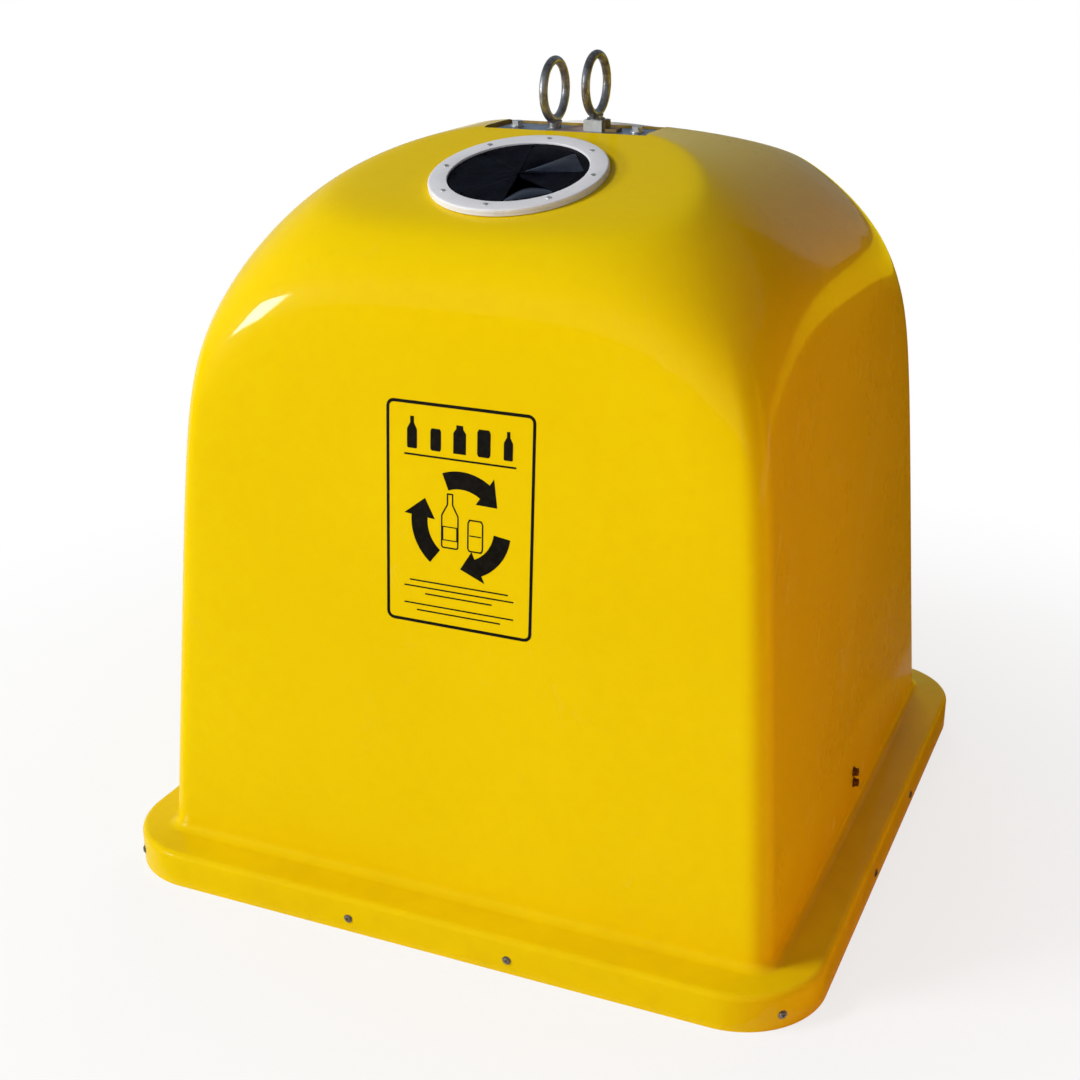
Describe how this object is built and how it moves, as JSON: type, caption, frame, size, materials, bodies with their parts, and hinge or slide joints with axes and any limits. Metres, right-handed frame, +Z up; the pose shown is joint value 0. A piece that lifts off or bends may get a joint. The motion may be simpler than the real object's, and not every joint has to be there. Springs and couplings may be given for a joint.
{
  "type": "recycling container",
  "caption": "Bell-shaped gloss yellow recycling container with round rubber-flapped throw-ins, crane lifting eyes and drop-open bottom doors.",
  "frame": {"origin": "middle of the square footprint, at floor level", "axes": "+Z up; -Y is the front that carries the label, with the throw-ins at -Y and +Y; +X towards the lifting eye's side"},
  "size_m": [1.307, 1.307, 1.419],
  "materials": {
    "gelcoat": "high-gloss yellow gelcoat on glass-fibre laminate",
    "galvanised": "hot-dip galvanised",
    "bare_steel": "satin zinc plated",
    "primer": "dull brown primer",
    "nylon": "natural nylon",
    "white_plastic": "satin white",
    "black_rubber": "semi-gloss black rubber"
  },
  "bodies": {
    "bell": {"shell": "gelcoat", "base_frame": "galvanised", "skirt_screws": "galvanised", "centre_beam": "galvanised", "beam_bolts": "galvanised", "beam_nuts": "galvanised", "mast": "galvanised", "crown_plate": "galvanised", "crown_bolts": "galvanised", "mast_cleat": "primer", "lifting_eye": "bare_steel", "rod_guides": "galvanised", "guide_bushes": "nylon", "crown_bush": "nylon", "front_hinge_pins": "bare_steel", "rear_hinge_pins": "bare_steel", "front_collar": "white_plastic", "front_rubber_rim": "black_rubber", "front_collar_screws": "galvanised", "rear_collar": "white_plastic", "rear_rubber_rim": "black_rubber", "rear_collar_screws": "galvanised"},
    "release": {"release_rod": "bare_steel", "release_eye": "bare_steel", "stop_collar": "galvanised", "latch_cap": "galvanised", "cap_pin": "bare_steel"},
    "front_leaf": {"front_door": "galvanised", "front_door_ribs": "galvanised", "front_door_arms": "galvanised", "front_horn": "galvanised"},
    "rear_leaf": {"rear_door": "galvanised", "rear_door_ribs": "galvanised", "rear_door_arms": "galvanised", "rear_horn": "galvanised"},
    "front_flap_a_leaf": {"front_flap_a": "black_rubber"},
    "front_flap_b_leaf": {"front_flap_b": "black_rubber"},
    "front_flap_c_leaf": {"front_flap_c": "black_rubber"},
    "front_flap_d_leaf": {"front_flap_d": "black_rubber"},
    "front_flap_e_leaf": {"front_flap_e": "black_rubber"},
    "front_flap_f_leaf": {"front_flap_f": "black_rubber"},
    "front_flap_g_leaf": {"front_flap_g": "black_rubber"},
    "front_flap_h_leaf": {"front_flap_h": "black_rubber"},
    "rear_flap_a_leaf": {"rear_flap_a": "black_rubber"},
    "rear_flap_b_leaf": {"rear_flap_b": "black_rubber"},
    "rear_flap_c_leaf": {"rear_flap_c": "black_rubber"},
    "rear_flap_d_leaf": {"rear_flap_d": "black_rubber"},
    "rear_flap_e_leaf": {"rear_flap_e": "black_rubber"},
    "rear_flap_f_leaf": {"rear_flap_f": "black_rubber"},
    "rear_flap_g_leaf": {"rear_flap_g": "black_rubber"},
    "rear_flap_h_leaf": {"rear_flap_h": "black_rubber"}
  },
  "joints": [
    {"name": "release_pull", "type": "slide", "parent": "bell", "child": "release", "axis": [0, 0, 1], "range_m": [0, 0.15]},
    {"name": "front_door_drop", "type": "hinge", "parent": "bell", "child": "front_leaf", "pos_m": [0, -0.062, 0.1], "axis": [1, 0, 0], "range_deg": [0, 70]},
    {"name": "rear_door_drop", "type": "hinge", "parent": "bell", "child": "rear_leaf", "pos_m": [0, 0.062, 0.1], "axis": [-1, 0, 0], "range_deg": [0, 70]},
    {"name": "front_flap_a_push", "type": "hinge", "parent": "bell", "child": "front_flap_a_leaf", "pos_m": [0.08611, -0.19248, 1.25548], "axis": [0.5373, -0.8127, -0.2254], "range_deg": [0, 60], "stiffness_Nm_per_rad": 0.1, "springref_deg": -5.73},
    {"name": "front_flap_b_push", "type": "hinge", "parent": "bell", "child": "front_flap_b_leaf", "pos_m": [0.0221, -0.14929, 1.26745], "axis": [0.9763, -0.2086, -0.0578], "range_deg": [0, 60], "stiffness_Nm_per_rad": 0.1, "springref_deg": -5.73},
    {"name": "front_flap_c_push", "type": "hinge", "parent": "bell", "child": "front_flap_c_leaf", "pos_m": [-0.05486, -0.16236, 1.26383], "axis": [0.8434, 0.5178, 0.1436], "range_deg": [0, 60], "stiffness_Nm_per_rad": 0.1, "springref_deg": -5.73},
    {"name": "front_flap_d_push", "type": "hinge", "parent": "bell", "child": "front_flap_d_leaf", "pos_m": [-0.09967, -0.22404, 1.24672], "axis": [0.2164, 0.9408, 0.2609], "range_deg": [0, 60], "stiffness_Nm_per_rad": 0.1, "springref_deg": -5.73},
    {"name": "front_flap_e_push", "type": "hinge", "parent": "bell", "child": "front_flap_e_leaf", "pos_m": [-0.08611, -0.2982, 1.22616], "axis": [-0.5373, 0.8127, 0.2254], "range_deg": [0, 60], "stiffness_Nm_per_rad": 0.1, "springref_deg": -5.73},
    {"name": "front_flap_f_push", "type": "hinge", "parent": "bell", "child": "front_flap_f_leaf", "pos_m": [-0.0221, -0.34138, 1.21418], "axis": [-0.9763, 0.2086, 0.0578], "range_deg": [0, 60], "stiffness_Nm_per_rad": 0.1, "springref_deg": -5.73},
    {"name": "front_flap_g_push", "type": "hinge", "parent": "bell", "child": "front_flap_g_leaf", "pos_m": [0.05486, -0.32831, 1.21781], "axis": [-0.8434, -0.5178, -0.1436], "range_deg": [0, 60], "stiffness_Nm_per_rad": 0.1, "springref_deg": -5.73},
    {"name": "front_flap_h_push", "type": "hinge", "parent": "bell", "child": "front_flap_h_leaf", "pos_m": [0.09967, -0.26663, 1.23491], "axis": [-0.2164, -0.9408, -0.2609], "range_deg": [0, 60], "stiffness_Nm_per_rad": 0.1, "springref_deg": -5.73},
    {"name": "rear_flap_a_push", "type": "hinge", "parent": "bell", "child": "rear_flap_a_leaf", "pos_m": [-0.08611, 0.19248, 1.25548], "axis": [-0.5373, 0.8127, -0.2254], "range_deg": [0, 60], "stiffness_Nm_per_rad": 0.1, "springref_deg": -5.73},
    {"name": "rear_flap_b_push", "type": "hinge", "parent": "bell", "child": "rear_flap_b_leaf", "pos_m": [-0.0221, 0.14929, 1.26745], "axis": [-0.9763, 0.2086, -0.0578], "range_deg": [0, 60], "stiffness_Nm_per_rad": 0.1, "springref_deg": -5.73},
    {"name": "rear_flap_c_push", "type": "hinge", "parent": "bell", "child": "rear_flap_c_leaf", "pos_m": [0.05486, 0.16236, 1.26383], "axis": [-0.8434, -0.5178, 0.1436], "range_deg": [0, 60], "stiffness_Nm_per_rad": 0.1, "springref_deg": -5.73},
    {"name": "rear_flap_d_push", "type": "hinge", "parent": "bell", "child": "rear_flap_d_leaf", "pos_m": [0.09967, 0.22404, 1.24672], "axis": [-0.2164, -0.9408, 0.2609], "range_deg": [0, 60], "stiffness_Nm_per_rad": 0.1, "springref_deg": -5.73},
    {"name": "rear_flap_e_push", "type": "hinge", "parent": "bell", "child": "rear_flap_e_leaf", "pos_m": [0.08611, 0.2982, 1.22616], "axis": [0.5373, -0.8127, 0.2254], "range_deg": [0, 60], "stiffness_Nm_per_rad": 0.1, "springref_deg": -5.73},
    {"name": "rear_flap_f_push", "type": "hinge", "parent": "bell", "child": "rear_flap_f_leaf", "pos_m": [0.0221, 0.34138, 1.21418], "axis": [0.9763, -0.2086, 0.0578], "range_deg": [0, 60], "stiffness_Nm_per_rad": 0.1, "springref_deg": -5.73},
    {"name": "rear_flap_g_push", "type": "hinge", "parent": "bell", "child": "rear_flap_g_leaf", "pos_m": [-0.05486, 0.32831, 1.21781], "axis": [0.8434, 0.5178, -0.1436], "range_deg": [0, 60], "stiffness_Nm_per_rad": 0.1, "springref_deg": -5.73},
    {"name": "rear_flap_h_push", "type": "hinge", "parent": "bell", "child": "rear_flap_h_leaf", "pos_m": [-0.09967, 0.26663, 1.23491], "axis": [0.2164, 0.9408, -0.2609], "range_deg": [0, 60], "stiffness_Nm_per_rad": 0.1, "springref_deg": -5.73}
  ],
  "couplings": [
    {"joint": "front_door_drop", "follows": "release_pull", "rad_per_m": 8.1448},
    {"joint": "rear_door_drop", "follows": "release_pull", "rad_per_m": 8.1448},
    {"joint": "front_flap_b_push", "follows": "front_flap_a_push", "ratio": 1},
    {"joint": "front_flap_c_push", "follows": "front_flap_a_push", "ratio": 1},
    {"joint": "front_flap_d_push", "follows": "front_flap_a_push", "ratio": 1},
    {"joint": "front_flap_e_push", "follows": "front_flap_a_push", "ratio": 1},
    {"joint": "front_flap_f_push", "follows": "front_flap_a_push", "ratio": 1},
    {"joint": "front_flap_g_push", "follows": "front_flap_a_push", "ratio": 1},
    {"joint": "front_flap_h_push", "follows": "front_flap_a_push", "ratio": 1},
    {"joint": "rear_flap_b_push", "follows": "rear_flap_a_push", "ratio": 1},
    {"joint": "rear_flap_c_push", "follows": "rear_flap_a_push", "ratio": 1},
    {"joint": "rear_flap_d_push", "follows": "rear_flap_a_push", "ratio": 1},
    {"joint": "rear_flap_e_push", "follows": "rear_flap_a_push", "ratio": 1},
    {"joint": "rear_flap_f_push", "follows": "rear_flap_a_push", "ratio": 1},
    {"joint": "rear_flap_g_push", "follows": "rear_flap_a_push", "ratio": 1},
    {"joint": "rear_flap_h_push", "follows": "rear_flap_a_push", "ratio": 1}
  ]
}
